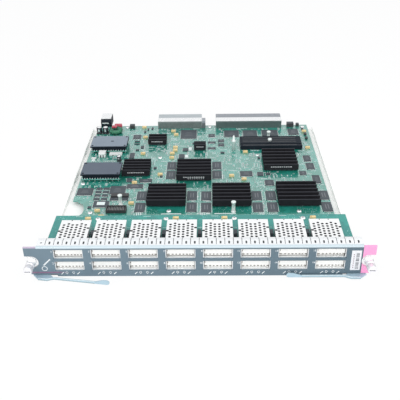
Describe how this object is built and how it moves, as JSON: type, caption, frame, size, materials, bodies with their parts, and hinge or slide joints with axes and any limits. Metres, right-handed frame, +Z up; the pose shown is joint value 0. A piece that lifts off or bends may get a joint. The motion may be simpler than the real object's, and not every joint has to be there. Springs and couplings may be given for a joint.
{
  "type": "switch line card",
  "caption": "Line card for a modular network switch, with two rows of shuttered transceiver ports, levers and captive screws.",
  "frame": {"origin": "centre of the overall footprint at the carrier's underside", "axes": "+X right along the faceplate, +Y back from the faceplate towards the connectors, +Z up"},
  "size_m": [0.388, 0.424, 0.0422],
  "materials": {
    "face_paint": "semi-gloss blue grey paint",
    "bare_steel": "zinc plated",
    "gasket_metal": "bright tin plate",
    "carrier_steel": "zinc plated sheet",
    "green_board": "solder mask",
    "port_board_green": "solder mask",
    "cage_steel": "tin plated",
    "door_steel": "satin stainless",
    "black_plastic": "moulded",
    "lever_paint": "satin pale blue",
    "screw_nickel": "nickel plated",
    "black_anodised": "black anodised",
    "chip_plastic": "moulded package",
    "cream_plastic": "moulded",
    "can_metal": "drawn can",
    "core_green": "coated core",
    "converter_plate": "anodised plate",
    "plane_plastic": "moulded"
  },
  "bodies": {
    "carrier": {"board_screws": "screw_nickel", "board_spacers": "screw_nickel", "cage_covers": "cage_steel", "can_capacitors": "can_metal", "carrier_tray": "carrier_steel", "chip_packages": "chip_plastic", "edge_connector": "black_plastic", "faceplate": "face_paint", "filter_parts": "black_plastic", "finger_gasket": "gasket_metal", "frame_dividers": "bare_steel", "front_frame": "bare_steel", "front_power_converter": "converter_plate", "heatsinks": "black_anodised", "left_plane_connector": "plane_plastic", "left_screw_spring": "bare_steel", "lever_pivots": "bare_steel", "logic_chips": "chip_plastic", "lower_hinge_rod": "bare_steel", "lower_port_cages": "cage_steel", "lower_port_sockets": "black_plastic", "main_board": "green_board", "memory_chips": "chip_plastic", "mezzanine_connector": "black_plastic", "mezzanine_posts": "screw_nickel", "port_board": "port_board_green", "port_board_spacers": "screw_nickel", "power_connector": "black_plastic", "rear_power_converter": "converter_plate", "right_plane_connector": "plane_plastic", "right_screw_spring": "bare_steel", "screw_ferrules": "bare_steel", "stack_connector": "black_plastic", "tantalum_capacitors": "cream_plastic", "toroid_inductor": "core_green", "upper_hinge_rod": "bare_steel", "upper_port_cages": "cage_steel", "upper_port_sockets": "black_plastic"},
    "upper_door_1": {"upper_door_1": "door_steel"},
    "upper_door_2": {"upper_door_2": "door_steel"},
    "upper_door_3": {"upper_door_3": "door_steel"},
    "upper_door_4": {"upper_door_4": "door_steel"},
    "upper_door_5": {"upper_door_5": "door_steel"},
    "upper_door_6": {"upper_door_6": "door_steel"},
    "upper_door_7": {"upper_door_7": "door_steel"},
    "upper_door_8": {"upper_door_8": "door_steel"},
    "lower_door_1": {"lower_door_1": "door_steel"},
    "lower_door_2": {"lower_door_2": "door_steel"},
    "lower_door_3": {"lower_door_3": "door_steel"},
    "lower_door_4": {"lower_door_4": "door_steel"},
    "lower_door_5": {"lower_door_5": "door_steel"},
    "lower_door_6": {"lower_door_6": "door_steel"},
    "lower_door_7": {"lower_door_7": "door_steel"},
    "lower_door_8": {"lower_door_8": "door_steel"},
    "left_lever": {"left_lever": "lever_paint"},
    "left_screw_slide": {"left_retaining_ring": "bare_steel"},
    "left_screw": {"left_captive_screw": "screw_nickel"},
    "right_lever": {"right_lever": "lever_paint"},
    "right_screw_slide": {"right_retaining_ring": "bare_steel"},
    "right_screw": {"right_captive_screw": "screw_nickel"}
  },
  "joints": [
    {"name": "upper_door_1_hinge", "type": "hinge", "parent": "carrier", "child": "upper_door_1", "pos_m": [-0.14525, -0.1895, 0.0342], "axis": [1, 0, 0], "range_deg": [0, 85], "stiffness_Nm_per_rad": 0.0002, "springref_deg": -57.3},
    {"name": "upper_door_2_hinge", "type": "hinge", "parent": "carrier", "child": "upper_door_2", "pos_m": [-0.10375, -0.1895, 0.0342], "axis": [1, 0, 0], "range_deg": [0, 85], "stiffness_Nm_per_rad": 0.0002, "springref_deg": -57.3},
    {"name": "upper_door_3_hinge", "type": "hinge", "parent": "carrier", "child": "upper_door_3", "pos_m": [-0.06225, -0.1895, 0.0342], "axis": [1, 0, 0], "range_deg": [0, 85], "stiffness_Nm_per_rad": 0.0002, "springref_deg": -57.3},
    {"name": "upper_door_4_hinge", "type": "hinge", "parent": "carrier", "child": "upper_door_4", "pos_m": [-0.02075, -0.1895, 0.0342], "axis": [1, 0, 0], "range_deg": [0, 85], "stiffness_Nm_per_rad": 0.0002, "springref_deg": -57.3},
    {"name": "upper_door_5_hinge", "type": "hinge", "parent": "carrier", "child": "upper_door_5", "pos_m": [0.02075, -0.1895, 0.0342], "axis": [1, 0, 0], "range_deg": [0, 85], "stiffness_Nm_per_rad": 0.0002, "springref_deg": -57.3},
    {"name": "upper_door_6_hinge", "type": "hinge", "parent": "carrier", "child": "upper_door_6", "pos_m": [0.06225, -0.1895, 0.0342], "axis": [1, 0, 0], "range_deg": [0, 85], "stiffness_Nm_per_rad": 0.0002, "springref_deg": -57.3},
    {"name": "upper_door_7_hinge", "type": "hinge", "parent": "carrier", "child": "upper_door_7", "pos_m": [0.10375, -0.1895, 0.0342], "axis": [1, 0, 0], "range_deg": [0, 85], "stiffness_Nm_per_rad": 0.0002, "springref_deg": -57.3},
    {"name": "upper_door_8_hinge", "type": "hinge", "parent": "carrier", "child": "upper_door_8", "pos_m": [0.14525, -0.1895, 0.0342], "axis": [1, 0, 0], "range_deg": [0, 85], "stiffness_Nm_per_rad": 0.0002, "springref_deg": -57.3},
    {"name": "lower_door_1_hinge", "type": "hinge", "parent": "carrier", "child": "lower_door_1", "pos_m": [-0.14525, -0.1895, 0.0182], "axis": [1, 0, 0], "range_deg": [0, 85], "stiffness_Nm_per_rad": 0.0002, "springref_deg": -57.3},
    {"name": "lower_door_2_hinge", "type": "hinge", "parent": "carrier", "child": "lower_door_2", "pos_m": [-0.10375, -0.1895, 0.0182], "axis": [1, 0, 0], "range_deg": [0, 85], "stiffness_Nm_per_rad": 0.0002, "springref_deg": -57.3},
    {"name": "lower_door_3_hinge", "type": "hinge", "parent": "carrier", "child": "lower_door_3", "pos_m": [-0.06225, -0.1895, 0.0182], "axis": [1, 0, 0], "range_deg": [0, 85], "stiffness_Nm_per_rad": 0.0002, "springref_deg": -57.3},
    {"name": "lower_door_4_hinge", "type": "hinge", "parent": "carrier", "child": "lower_door_4", "pos_m": [-0.02075, -0.1895, 0.0182], "axis": [1, 0, 0], "range_deg": [0, 85], "stiffness_Nm_per_rad": 0.0002, "springref_deg": -57.3},
    {"name": "lower_door_5_hinge", "type": "hinge", "parent": "carrier", "child": "lower_door_5", "pos_m": [0.02075, -0.1895, 0.0182], "axis": [1, 0, 0], "range_deg": [0, 85], "stiffness_Nm_per_rad": 0.0002, "springref_deg": -57.3},
    {"name": "lower_door_6_hinge", "type": "hinge", "parent": "carrier", "child": "lower_door_6", "pos_m": [0.06225, -0.1895, 0.0182], "axis": [1, 0, 0], "range_deg": [0, 85], "stiffness_Nm_per_rad": 0.0002, "springref_deg": -57.3},
    {"name": "lower_door_7_hinge", "type": "hinge", "parent": "carrier", "child": "lower_door_7", "pos_m": [0.10375, -0.1895, 0.0182], "axis": [1, 0, 0], "range_deg": [0, 85], "stiffness_Nm_per_rad": 0.0002, "springref_deg": -57.3},
    {"name": "lower_door_8_hinge", "type": "hinge", "parent": "carrier", "child": "lower_door_8", "pos_m": [0.14525, -0.1895, 0.0182], "axis": [1, 0, 0], "range_deg": [0, 85], "stiffness_Nm_per_rad": 0.0002, "springref_deg": -57.3},
    {"name": "left_lever_swing", "type": "hinge", "parent": "carrier", "child": "left_lever", "pos_m": [-0.178, -0.1876, 0.0012], "axis": [0, 0, -1], "range_deg": [-9, 71]},
    {"name": "left_screw_push", "type": "slide", "parent": "carrier", "child": "left_screw_slide", "axis": [0, 1, 0], "range_m": [0, 0.0043], "stiffness_N_per_m": 400, "springref_m": -0.003, "deforming": ["left_screw_spring"]},
    {"name": "left_screw_turn", "type": "hinge", "parent": "left_screw_slide", "child": "left_screw", "pos_m": [-0.1873, -0.194, 0.02], "axis": [0, 1, 0], "continuous": true},
    {"name": "right_lever_swing", "type": "hinge", "parent": "carrier", "child": "right_lever", "pos_m": [0.178, -0.1876, 0.0012], "axis": [0, 0, 1], "range_deg": [0, 80]},
    {"name": "right_screw_push", "type": "slide", "parent": "carrier", "child": "right_screw_slide", "axis": [0, 1, 0], "range_m": [0, 0.0043], "stiffness_N_per_m": 400, "springref_m": -0.003, "deforming": ["right_screw_spring"]},
    {"name": "right_screw_turn", "type": "hinge", "parent": "right_screw_slide", "child": "right_screw", "pos_m": [0.1873, -0.194, 0.02], "axis": [0, 1, 0], "continuous": true}
  ]
}
